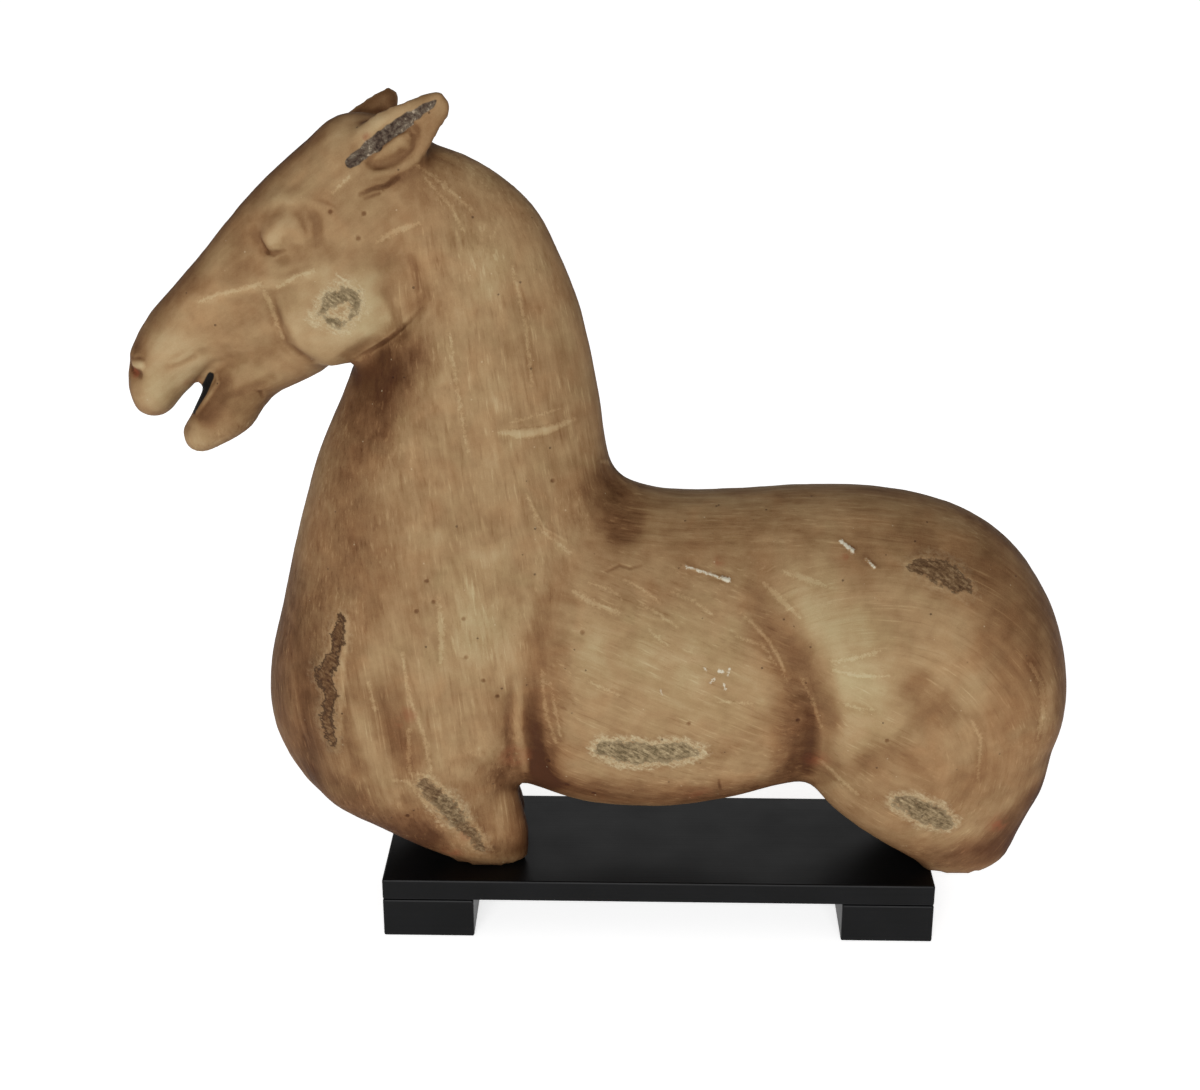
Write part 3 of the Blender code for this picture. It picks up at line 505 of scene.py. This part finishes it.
def cage():
    """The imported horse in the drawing's millimetres, welded, with its sole rims kept sharp."""
    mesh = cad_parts["horse"].data.copy()
    mesh.materials.clear()
    work = bmesh.new()
    work.from_mesh(mesh)
    for vert in work.verts:
        vert.co = Vector(to_drawing(np.array(vert.co)))
    bmesh.ops.remove_doubles(work, verts=work.verts, dist=0.01)
    crease = work.edges.layers.float.new("crease_edge")
    for edge in work.edges:
        flat = [abs(f.normal.z + 1) < 0.01 and f.calc_center_median().z < 0.05 for f in edge.link_faces]
        if any(flat) and not all(flat):
            edge[crease] = 1.0
    work.to_mesh(mesh)
    work.free()
    return mesh


def split_faces(mesh, wanted):
    """Splits each face whose middle is wanted into four."""
    work = bmesh.new()
    work.from_mesh(mesh)
    middles = np.array([f.calc_center_median() for f in work.faces])
    normals = np.array([f.normal for f in work.faces])
    chosen = wanted(middles, normals)
    edges = {e for f, take in zip(work.faces, chosen) if take for e in f.edges}
    edges = sorted(edges, key=lambda e: e.index)
    bmesh.ops.subdivide_edges(work, edges=edges, cuts=1, use_grid_fill=True)
    work.to_mesh(mesh)
    work.free()
    mesh.update()


def in_head(points, _normals):
    head = (points[:, 0] < HEAD_FROM[0]) & (points[:, 2] > HEAD_FROM[1])
    return head | (points[:, 0] < MUZZLE_FROM[0]) & (points[:, 2] > MUZZLE_FROM[1])


def near_detail(points, normals, extra, widest):
    """Whether a point is within reach of a pit, a stroke or a line that is no wider than the widest."""
    flat = points[:, [0, 2]]
    found = np.zeros(len(points), bool)
    for reach, side, route in LINES.values():
        if reach <= widest:
            close = near_route(flat, route)[0] < reach + extra
            found |= close & (side_mask(points, normals, side) > 0)
    left = side_mask(points, normals, LEFT) > 0
    for pit in PITS:
        found |= left & (near_route(flat, ((*pit, 0),))[0] < PIT_REACH + extra)
    for route in (*CHALK.values(), *STROKES.values()):
        found |= left & (near_route(flat, route)[0] < 1.2 + extra)
    return found


def near_patch(points, normals):
    flat = points[:, [0, 2]]
    found = np.zeros(len(points), bool)
    for side, _, route in PATCHES.values():
        distance, half = near_route(flat, route)
        found |= (distance < half + 4) & (side_mask(points, normals, side) > 0)
    return found


def fine_clay():
    """The horse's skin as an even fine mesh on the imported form, finer on the head and near small marks."""
    rough_form = cage()
    packed = BVHTree.FromPolygons(
        [v.co for v in rough_form.vertices], [p.vertices for p in rough_form.polygons]
    )
    piece = bpy.data.objects.new("horse_clay", rough_form)
    bpy.context.scene.collection.objects.link(piece)
    rounder = piece.modifiers.new("round", "SUBSURF")
    rounder.levels = 2
    rounder.render_levels = 2
    even = piece.modifiers.new("even", "REMESH")
    even.mode = "VOXEL"
    even.voxel_size = CLAY_GRID
    mesh = evaluated(piece)
    piece.modifiers.clear()
    piece.data = mesh
    settle(mesh, packed, 6)
    split_faces(mesh, in_head)
    settle(mesh, packed, 3)
    soften_eyes(mesh)
    split_faces(mesh, near_patch_outside_head)
    split_faces(mesh, near_mark)
    settle(mesh, packed, 1)
    return piece


def soften_eyes(mesh):
    """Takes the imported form's corners out of the two eyes."""
    points = read_points(mesh)
    distance = np.hypot(points[:, 0] - EYE[0], points[:, 2] - EYE[1])
    free = 1 - smooth(distance, 0.6 * EYE_REACH, EYE_REACH)
    write_points(mesh, relaxed(points, links_of(mesh), 22, free[:, None]))


def near_patch_outside_head(points, normals):
    near = near_patch(points, normals) | near_detail(points, normals, *WIDE_DETAIL)
    return near & ~in_head(points, normals)


def near_mark(points, normals):
    return near_detail(points, normals, *CLOSE_DETAIL)


def settle(mesh, packed, passes):
    """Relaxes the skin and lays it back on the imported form, with the soles flat."""
    links = links_of(mesh)
    points = read_points(mesh)
    sole = points[:, 2] < 0.5 * CLAY_GRID
    free = np.ones((len(points), 3))
    free[sole, 2] = 0
    points[sole, 2] = 0
    points = relaxed(points, links, passes, free)
    back = np.zeros_like(points)
    for i, point in enumerate(points):
        back[i] = np.array(packed.find_nearest(Vector(point))[0]) - point
    points += blurred(back, links, 7) * free
    points[sole, 2] = 0
    write_points(mesh, points)


def relief(points, normals):
    """The height of the fine carving and wear at each point, and the painted shade that it puts in the
    grooves and pits, paler along the raised lines.
    """
    flat = points[:, [0, 2]]
    height = np.zeros(len(points))
    carved_shade = np.zeros(len(points))
    masks = {side: side_mask(points, normals, side) for side in (BOTH, LEFT, RIGHT)}
    for reach, side, route in LINES.values():
        distance, depth = near_route(flat, route)
        shape = np.clip(1 - (distance / reach) ** 2, 0, 1) ** 2 * masks[side]
        height -= depth * shape
        # Painted shade along the grooves, paler along the raised lines
        carved_shade += np.clip(depth, -1, 1.2) * shape
    for pit in PITS:
        distance, _ = near_route(flat, ((*pit, 0),))
        shape = np.clip(1 - (distance / PIT_REACH) ** 2, 0, 1) * masks[LEFT]
        height -= PIT_DEPTH * shape
        # Painted shade in the pit
        carved_shade += PIT_SHADE * shape
    rearward = smooth(normals[:, 0], 0.05, 1.0)
    for x, y, z, reach, swell in SWELLS:
        distance = np.linalg.norm(points - (x, y, z), axis=1)
        height += swell * np.clip(1 - (distance / reach) ** 2, 0, 1) ** 2 * rearward
    return height, carved_shade


def worn_field(points, normals):
    """How far each point lies inside the nearest worn patch's ragged edge, and how gray that patch is."""
    flat = points[:, [0, 2]]
    field = np.full(len(points), -20.0)
    gray = np.zeros(len(points))
    for side, share, route in PATCHES.values():
        distance, half = near_route(flat, route)
        inside = np.where(side_mask(points, normals, side) > 0.2, half - distance, -20)
        gray[inside > field] = share
        field = np.maximum(field, inside)
    close = field > -12
    field[close] += 2.6 * rough(points[close], 9.0, 3) + 1.5 * rough(points[close], 3.2, 4)
    return field, gray


def marked_field(points, normals, routes):
    """How far each point of the left side lies inside the nearest of the marks, in millimetres."""
    flat = points[:, [0, 2]]
    field = np.full(len(points), -4.0)
    for route in routes.values():
        distance, half = near_route(flat, route)
        field = np.maximum(field, half - distance)
    return np.where(side_mask(points, normals, LEFT) > 0.3, field, -4.0)


def soft_field(points, normals, washes):
    flat = points[:, [0, 2]]
    field = np.zeros(len(points))
    for side, reach, route in washes.values():
        distance, amount = near_route(flat, route)
        outward = side_mask(points, normals, side) if side else 1.0
        field += amount * np.clip(1 - (distance / reach) ** 2, 0, 1) ** 1.5 * outward
    return field


def stain_field(points, normals):
    flat = points[:, [0, 2]]
    field = np.zeros(len(points))
    for x, z, reach, amount in STAINS:
        distance, _ = near_route(flat, ((x, z, 0),))
        field = np.maximum(field, amount * np.clip(1 - (distance / reach) ** 2, 0, 1))
    return field * side_mask(points, normals, LEFT)


def brush_regions(points, normals):
    """How far each point belongs to each part of the body that has its own brush strokes."""
    x, z = points[:, 0], points[:, 2]
    shoulder = np.interp(z, *zip(*SHOULDER_LINE))
    flank = np.interp(z, *zip(*FLANK_LINE))
    head = 1 - smooth(x - np.interp(z, *zip(*THROAT_LINE)), -12, 10)
    neck = 1 - smooth(x - shoulder, -10, 12) - head
    haunch = smooth(x - flank, -8, 14)
    back = smooth(z + 30 * normals[:, 2], 236, 262) * (1 - neck - head)
    haunch *= 1 - back
    barrel = np.clip(1 - neck - head - haunch - back, 0, 1)
    middle = np.hypot(x - HAUNCH_MIDDLE[0], z - HAUNCH_MIDDLE[1])
    thigh = haunch * (1 - smooth(middle + 0.5 * (x - HAUNCH_MIDDLE[0]), 45, 95))
    return {
        "head": head, "neck": neck, "barrel": barrel,
        "haunch": haunch - thigh, "back": back, "thigh": thigh,
    }


def haunch_turns(points):
    """The haunch's own coordinates: the way round its middle, the way across, and the way out."""
    x = points[:, 0] - HAUNCH_MIDDLE[0]
    z = points[:, 2] - HAUNCH_MIDDLE[1]
    turn = np.arctan2(z, x) + math.pi / 2
    turn[turn < -0.6] += 2 * math.pi
    return np.stack([turn * HAUNCH_ROUND, points[:, 1], np.hypot(x, z)], axis=1)


def keep(mesh, name, values):
    """Stores one number or vector per point for the material to read."""
    vector = values.ndim == 2
    made = mesh.attributes.new(name, "FLOAT_VECTOR" if vector else "FLOAT", "POINT")
    made.data.foreach_set("vector" if vector else "value", values.astype(np.float32).ravel())


def make_horse():
    piece = fine_clay()
    mesh = piece.data
    points = read_points(mesh)
    normals = read_normals(mesh)
    links = links_of(mesh)
    free = (points[:, 2] > 0.6 * CLAY_GRID).astype(float)
    form = points.copy()
    height, carved_shade = relief(points, normals)
    worn, gray = worn_field(points, normals)
    height -= WORN_DEPTH * smooth(worn, -0.3, 1.6)
    height += RIM_HEIGHT * np.exp(-(((worn + 0.8) / 1.3) ** 2))
    for size, amount, seed, octaves in WAVES:
        height += amount * rough(points, size, seed, octaves)
    inside = worn > 0
    size, amount, seed, octaves = WORN_WAVE
    height[inside] += amount * rough(points[inside], size, seed, octaves)
    points += normals * (height * free)[:, None]
    write_points(mesh, points)
    normals = read_normals(mesh)
    # Cavity and hollow give the painted shade in creases and hollows, paler on the bumps
    cavity = np.einsum("ij,ij->i", blurred(points, links, 6) - points, normals)
    hollow = np.einsum("ij,ij->i", blurred(points, links, 50) - points, normals)
    # The painted shade of the carved lines and pits
    keep(mesh, "carved_shade", carved_shade)
    keep(mesh, "worn", worn)
    keep(mesh, "gray", gray)
    # Painted shade where the surface turns away from the sides
    keep(mesh, "edge", 1 - smooth(np.abs(blurred(normals, links, 3)[:, 1]), 0.45, 1.0))
    # Painted shade on the far side's inner faces, the far ear and foreleg
    inward = smooth(-points[:, 1] * normals[:, 1] / 20, 0.1, 0.8)
    keep(mesh, "inward", blurred(inward[:, None], links, 2)[:, 0])
    # Painted shade on the tops, fronts and rears
    keep(mesh, "ridge", 1 - smooth(np.abs(normals[:, 1]), 0.0, 0.3))
    # Painted shade and painted highlights, with the washes
    keep(mesh, "shading_and_wash", soft_field(form, normals, SHADING_AND_WASHES))
    keep(mesh, "hue", soft_field(form, normals, HUES))
    # Painted shadow inside the lower lip
    distance, half = near_route(form[:, [0, 2]], MOUTH)
    keep(mesh, "mouth", np.where(normals[:, 0] < 0.3, half - distance, -4.0))
    keep(mesh, "chalk", marked_field(form, normals, CHALK))
    keep(mesh, "stroke", marked_field(form, normals, STROKES))
    keep(mesh, "stain", stain_field(form, normals))
    keep(mesh, "cavity", cavity)
    keep(mesh, "hollow", hollow)
    distance, half = near_route(form[:, [0, 2]], STRIP)
    strip = (half - distance + 1.2 * rough(form, 5.0, 6)) * side_mask(form, normals, LEFT)
    keep(mesh, "strip", np.where(side_mask(form, normals, LEFT) > 0.1, strip, -5.0))
    for name, values in brush_regions(form, normals).items():
        keep(mesh, "brush_" + name, values)
    keep(mesh, "round_haunch", haunch_turns(form))
    write_points(mesh, from_drawing(points))
    mesh.shade_smooth()
    mesh.materials.append(pottery())
    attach(piece, "root")
    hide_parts("horse")


class Graph:
    """A material's nodes, made and joined by short calls."""

    def __init__(self, name):
        self.material = bpy.data.materials.new(name)
        self.material.use_nodes = True
        self.tree = self.material.node_tree
        self.tree.nodes.clear()

    def node(self, kind, sockets=(), **settings):
        made = self.tree.nodes.new("ShaderNode" + kind)
        for name, value in settings.items():
            setattr(made, name, value)
        for key, value in dict(sockets).items():
            self.feed(made.inputs[key], value)
        return made

    def feed(self, socket, value):
        if isinstance(value, bpy.types.NodeSocket):
            self.tree.links.new(value, socket)
        else:
            socket.default_value = value

    def math(self, operation, *values, clamp=False):
        return self.node("Math", enumerate(values), operation=operation, use_clamp=clamp).outputs[0]

    def add(self, *values):
        total = values[0]
        for value in values[1:]:
            total = self.math("ADD", total, value)
        return total

    def times(self, one, other):
        return self.math("MULTIPLY", one, other)

    def ramp(self, value, low, high, start=0.0, end=1.0, kind="SMOOTHSTEP"):
        sockets = {"Value": value, "From Min": low, "From Max": high, "To Min": start, "To Max": end}
        return self.node("MapRange", sockets, interpolation_type=kind).outputs[0]

    def attribute(self, name, output="Fac"):
        return self.node("Attribute", attribute_name=name).outputs[output]

    def noise(self, vector, scale=1.0, detail=2.0, roughness=0.5, distortion=0.0):
        sockets = {"Vector": vector, "Scale": scale, "Detail": detail, "Roughness": roughness,
                   "Distortion": distortion}
        return self.node("TexNoise", sockets).outputs["Fac"]

    def stretched(self, vector, turn, sizes):
        """The place turned about the y axis and divided by the sizes, so strokes run along the turned x."""
        sockets = {"Vector": vector, "Rotation": (0.0, math.radians(turn), 0.0), "Scale": sizes}
        return self.node("Mapping", sockets, vector_type="TEXTURE").outputs[0]

    def mix(self, factor, one, other, blend_type="MIX"):
        made = self.node("Mix", data_type="RGBA", blend_type=blend_type)
        self.feed(made.inputs["Factor"], factor)
        self.feed(made.inputs["A"], one)
        self.feed(made.inputs["B"], other)
        return next(o for o in made.outputs if o.type == "RGBA")

    def colours(self, value, stops):
        """A colour ramp through (place, colour) stops."""
        made = self.node("ValToRGB", {"Fac": value})
        ramp = made.color_ramp
        for place, _ in stops[2:]:
            ramp.elements.new(place)
        for element, (place, colour) in zip(ramp.elements, sorted(stops)):
            element.position = place
            element.color = colour
        return made.outputs[0]


def seen(red, green, blue):
    """The shader's linear colour for clay that looks like these screen numbers in the studio's light."""
    linear = [((c / 255 + 0.055) / 1.055) ** 2.4 for c in (red, green, blue)]
    return (*(max(c - SHEEN, 0.25 * c) / LIGHT_ON_CLAY for c in linear), 1.0)


def pottery():
    """Brown slip over pale clay: brushed, washed dark and painted with shade in the hollows and along the
    turned-away edges, painted lighter on the lit bulges, worn gray in patches.
    """
    g = Graph("pottery")
    place = g.node("TexCoord").outputs["Object"]
    place = g.node("VectorMath", {0: place, "Scale": 1000.0}, operation="SCALE").outputs[0]
    turns = {
        "head": (place, -38.0, 0.12, 0.4, 45.0),
        "neck": (place, 80.0, 0.3, 1.0, 55.0),
        "barrel": (place, 20.0, 0.26, 1.0, 40.0),
        "back": (place, 3.0, 0.34, 1.0, 55.0),
        "haunch": (g.attribute("round_haunch", "Vector"), 0.0, 0.22, 0.85, 26.0),
        "thigh": (place, 24.0, 0.16, 0.9, 24.0),
    }
    streaks, strokes = 0.0, 0.0
    for name, (vector, turn, broad_amount, fine_amount, length) in turns.items():
        part = g.attribute("brush_" + name)
        broad = g.noise(g.stretched(vector, turn, (46.0, 4.6, 4.6)), 1.0, 4.0, 0.6)
        fine = g.noise(g.stretched(vector, turn + 4.0, (length, 1.7, 1.7)), 1.0, 2.0, 0.55)
        broad = g.times(g.math("SUBTRACT", broad, 0.5), broad_amount)
        fine = g.times(g.math("SUBTRACT", fine, 0.5), fine_amount)
        streaks = g.add(streaks, g.times(broad, part))
        strokes = g.add(strokes, g.times(fine, part))
    mottle = g.noise(place, 0.026, 3.0, 0.5, 0.4)
    patchy = g.noise(place, 0.1, 3.0, 0.6)
    tint = g.noise(place, 0.045, 2.0, 0.5, 0.6)
    grit = g.noise(place, 1.1, 2.0, 0.7)
    cluster = g.ramp(g.noise(place, 0.07, 2.0), 0.4, 0.62)
    worn = g.attribute("worn")
    ragged = g.noise(place, 0.4, 4.0, 0.7)
    smear = g.add(
        g.times(g.math("SUBTRACT", grit, 0.5), 2.5),
        g.times(g.math("SUBTRACT", ragged, 0.5), 6.0),
    )
    tone = g.add(
        BASE_TONE,
        streaks,
        g.times(g.math("SUBTRACT", mottle, 0.5), 0.3),
        g.times(g.math("SUBTRACT", patchy, 0.5), 0.18),
        g.times(g.math("SUBTRACT", grit, 0.5), 0.13),
        g.times(g.ramp(strokes, 0.05, 0.2, 0.0, 0.13), cluster),
        g.ramp(strokes, -0.08, -0.24, 0.0, -0.08),
        g.ramp(g.add(g.attribute("stroke"), smear), -1.0, 0.9, 0.0, 0.14),
        # Painted shade and light: the shading with the washes, the grooves and pits, the turned-away edges,
        # tops, fronts and rears, the far side's inner faces, the hollows
        g.times(g.attribute("shading_and_wash"), SHADING_AND_WASH_TONE),
        g.times(g.attribute("carved_shade"), -0.12),
        g.times(g.attribute("edge"), -0.15),
        g.times(g.attribute("ridge"), -0.1),
        g.times(g.attribute("inward"), -0.32),
        g.ramp(g.attribute("cavity"), -0.12, 0.12, 0.05, -0.05, "LINEAR"),
        g.ramp(g.attribute("hollow"), -1.2, 1.2, 0.05, -0.08, "LINEAR"),
    )
    slip = g.colours(tone, (
        (0.0, seen(78, 51, 33)), (1.0, seen(203, 186, 152)), (0.12, seen(92, 63, 42)),
        (0.27, seen(118, 86, 59)), (0.42, seen(143, 111, 78)), (0.6, seen(167, 138, 101)),
        (0.78, seen(185, 162, 124)),
    ))
    hue = g.add(g.attribute("hue"), g.times(g.math("SUBTRACT", tint, 0.5), 3.0))
    redder = g.mix(1.0, slip, (1.05, 0.97, 0.93, 1.0), blend_type="MULTIPLY")
    greener = g.mix(1.0, slip, (0.96, 1.02, 1.0, 1.0), blend_type="MULTIPLY")
    slip = g.mix(g.ramp(hue, 0.0, 1.2, kind="LINEAR"), slip, redder)
    slip = g.mix(g.ramp(hue, 0.0, -1.2, kind="LINEAR"), slip, greener)
    slip = g.mix(g.times(g.attribute("stain"), g.ramp(patchy, 0.3, 0.6)), slip, seen(140, 78, 54))
    speck = g.node("TexVoronoi", {"Vector": place, "Scale": 0.16, "Randomness": 1.0})
    chance = g.node("SeparateColor", {0: speck.outputs["Color"]}).outputs[0]
    flecks = g.math("LESS_THAN", speck.outputs["Distance"], g.ramp(chance, 0.8, 1.0, 0.0, 0.1))
    slip = g.mix(g.times(flecks, 0.4), slip, seen(200, 182, 150))
    hatch = g.noise(g.stretched(place, 36.0, (9.0, 1.9, 1.9)), 1.0, 3.0, 0.65)
    edge = g.add(
        worn,
        g.times(g.math("SUBTRACT", ragged, 0.5), 7.0),
        g.times(g.math("SUBTRACT", hatch, 0.5), 7.0),
    )
    scuffs = g.add(g.times(hatch, 0.55), g.times(ragged, 0.45))
    gray = g.colours(scuffs, (
        (0.36, seen(84, 71, 51)), (0.66, seen(186, 168, 132)), (0.45, seen(118, 102, 76)),
        (0.55, seen(152, 133, 102)),
    ))
    brown = g.colours(scuffs, (
        (0.36, seen(72, 48, 30)), (0.66, seen(140, 112, 82)), (0.5, seen(104, 76, 52)),
    ))
    bare = g.mix(g.attribute("gray"), brown, gray)
    halo = g.times(g.ramp(edge, -7.0, -1.0), g.ramp(g.attribute("gray"), 0.3, 1.0, 0.15, 1.0, "LINEAR"))
    pale = g.colours(g.add(g.times(hatch, 0.5), g.times(grit, 0.5)), (
        (0.35, seen(164, 140, 104)), (0.65, seen(202, 186, 150)),
    ))
    body = g.mix(g.times(halo, g.ramp(ragged, 0.25, 0.6)), slip, pale)
    inside = g.ramp(edge, -0.8, 2.0)
    body = g.mix(inside, body, bare)
    rim = g.times(g.ramp(edge, -0.4, 0.6), g.ramp(edge, 2.6, 1.0))
    rim = g.times(rim, g.ramp(g.attribute("gray"), 0.0, 0.3, 0.7, 0.12, "LINEAR"))
    body = g.mix(rim, body, seen(66, 47, 33))
    strip = g.ramp(g.attribute("strip"), -0.2, 0.8)
    rubbed = g.colours(g.add(g.times(ragged, 0.6), g.times(patchy, 0.4)), (
        (0.36, seen(54, 44, 38)), (0.68, seen(178, 162, 140)), (0.46, seen(84, 70, 60)),
        (0.56, seen(108, 96, 82)),
    ))
    body = g.mix(strip, body, rubbed)
    # Painted shadow, near black, inside the lower lip
    body = g.mix(g.ramp(g.attribute("mouth"), -0.4, 0.6), body, seen(34, 26, 20))
    pit = g.node("TexVoronoi", {"Vector": place, "Scale": 0.07, "Randomness": 1.0})
    pits = g.ramp(pit.outputs["Distance"], 0.03, 0.06, 1.0, 0.0)
    body = g.mix(g.times(pits, 0.5), body, seen(60, 38, 26))
    chalk = g.add(g.attribute("chalk"), g.times(smear, 0.8))
    body = g.mix(g.times(g.ramp(chalk, -0.4, 0.6), 0.85), body, seen(214, 208, 188))
    height = g.add(
        g.times(streaks, 1.2),
        g.times(strokes, 0.3),
        g.times(grit, 0.25),
        g.times(patchy, 0.4),
        g.times(pits, -1.2),
        g.times(g.times(scuffs, inside), 1.6),
    )
    bump = g.node("Bump", {"Height": height, "Strength": 1.0, "Distance": 0.0004}).outputs[0]
    roughness = g.ramp(streaks, -0.06, 0.06, 0.84, 0.72, "LINEAR")
    shader = g.node("BsdfPrincipled", {"Base Color": body, "Roughness": roughness, "Normal": bump,
                                       "Specular IOR Level": 0.2})
    g.node("OutputMaterial", {"Surface": shader.outputs[0]})
    return g.material


def lacquer():
    """Black lacquer on wood: satin, a little uneven along the grain, dusty in places."""
    g = Graph("black_lacquer")
    place = g.node("TexCoord").outputs["Object"]
    place = g.node("VectorMath", {0: place, "Scale": 1000.0}, operation="SCALE").outputs[0]
    grain = g.noise(g.stretched(place, 0.0, (90.0, 1.6, 1.6)), 1.0, 3.0, 0.6)
    cloud = g.noise(place, 0.03, 3.0)
    dust = g.ramp(g.noise(place, 0.9, 2.0, 0.7), 0.68, 0.76)
    tone = g.add(g.times(grain, 0.35), g.times(cloud, 0.65))
    black = g.colours(tone, ((0.3, (0.0016, 0.0017, 0.0018, 1.0)), (0.7, (0.0034, 0.0036, 0.0041, 1.0))))
    black = g.mix(g.times(dust, 0.06), black, (0.12, 0.12, 0.11, 1.0))
    height = g.add(g.times(grain, 0.5), g.times(cloud, 0.5))
    bump = g.node("Bump", {"Height": height, "Strength": 0.4, "Distance": 0.0002}).outputs[0]
    roughness = g.ramp(tone, 0.3, 0.7, 0.36, 0.46, "LINEAR")
    shader = g.node("BsdfPrincipled", {"Base Color": black, "Roughness": roughness, "Normal": bump,
                                       "Specular IOR Level": 0.12})
    g.node("OutputMaterial", {"Surface": shader.outputs[0]})
    return g.material


def dress_stand():
    finish = lacquer()
    for name in ("stand_board", "stand_foot_front", "stand_foot_rear"):
        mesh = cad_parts[name].data
        mesh.materials.clear()
        mesh.materials.append(finish)


def make_floor():
    work = bmesh.new()
    bmesh.ops.create_grid(work, x_segments=1, y_segments=1, size=FLOOR_REACH)
    mesh = bpy.data.meshes.new("floor")
    work.to_mesh(mesh)
    work.free()
    floor = bpy.data.objects.new("floor", mesh)
    floor.location.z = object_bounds()[0][2] - FLOOR_BELOW
    bpy.context.scene.collection.objects.link(floor)
    g = Graph("floor")
    shader = g.node("BsdfPrincipled", {
        "Base Color": (0.86, 0.86, 0.86, 1.0), "Roughness": 0.9, "Specular IOR Level": 0.1,
        "Emission Color": (1.0, 1.0, 1.0, 1.0), "Emission Strength": FLOOR_GLOW,
    })
    g.node("OutputMaterial", {"Surface": shader.outputs[0]})
    mesh.materials.append(g.material)


def make_lights():
    for name, (azimuth, elevation, strength, width) in LIGHTS.items():
        lamp = bpy.data.lights.new(name, "SUN")
        lamp.energy = strength
        lamp.angle = math.radians(width)
        piece = bpy.data.objects.new(name, lamp)
        piece.rotation_euler = (math.radians(90 - elevation), 0.0, math.radians(azimuth))
        bpy.context.scene.collection.objects.link(piece)
    glow = bpy.data.lights.new("backdrop", "AREA")
    glow.shape = "RECTANGLE"
    glow.size, glow.size_y = BACKDROP_SIZE
    glow.energy = BACKDROP_POWER
    piece = bpy.data.objects.new("backdrop", glow)
    piece.location = BACKDROP_PLACE
    piece.rotation_euler = (math.radians(BACKDROP_TILT), 0.0, 0.0)
    bpy.context.scene.collection.objects.link(piece)
    world = bpy.data.worlds.new("studio")
    bpy.context.scene.world = world
    world.use_nodes = True
    background = world.node_tree.nodes["Background"]
    background.inputs["Color"].default_value = (1.0, 1.0, 1.0, 1.0)
    background.inputs["Strength"].default_value = SKY


def make_camera():
    lens = bpy.data.cameras.new("camera")
    lens.lens = CAMERA_LENS
    lens.sensor_width = SENSOR
    camera = bpy.data.objects.new("camera", lens)
    camera.location = CAMERA_PLACE
    camera.rotation_euler = (math.radians(90 - CAMERA_DOWN), 0.0, math.radians(CAMERA_TURN))
    bpy.context.scene.collection.objects.link(camera)
    bpy.context.scene.camera = camera


make_camera()
make_lights()
make_floor()
make_horse()
dress_stand()
bpy.context.scene.view_settings.view_transform = "Standard"
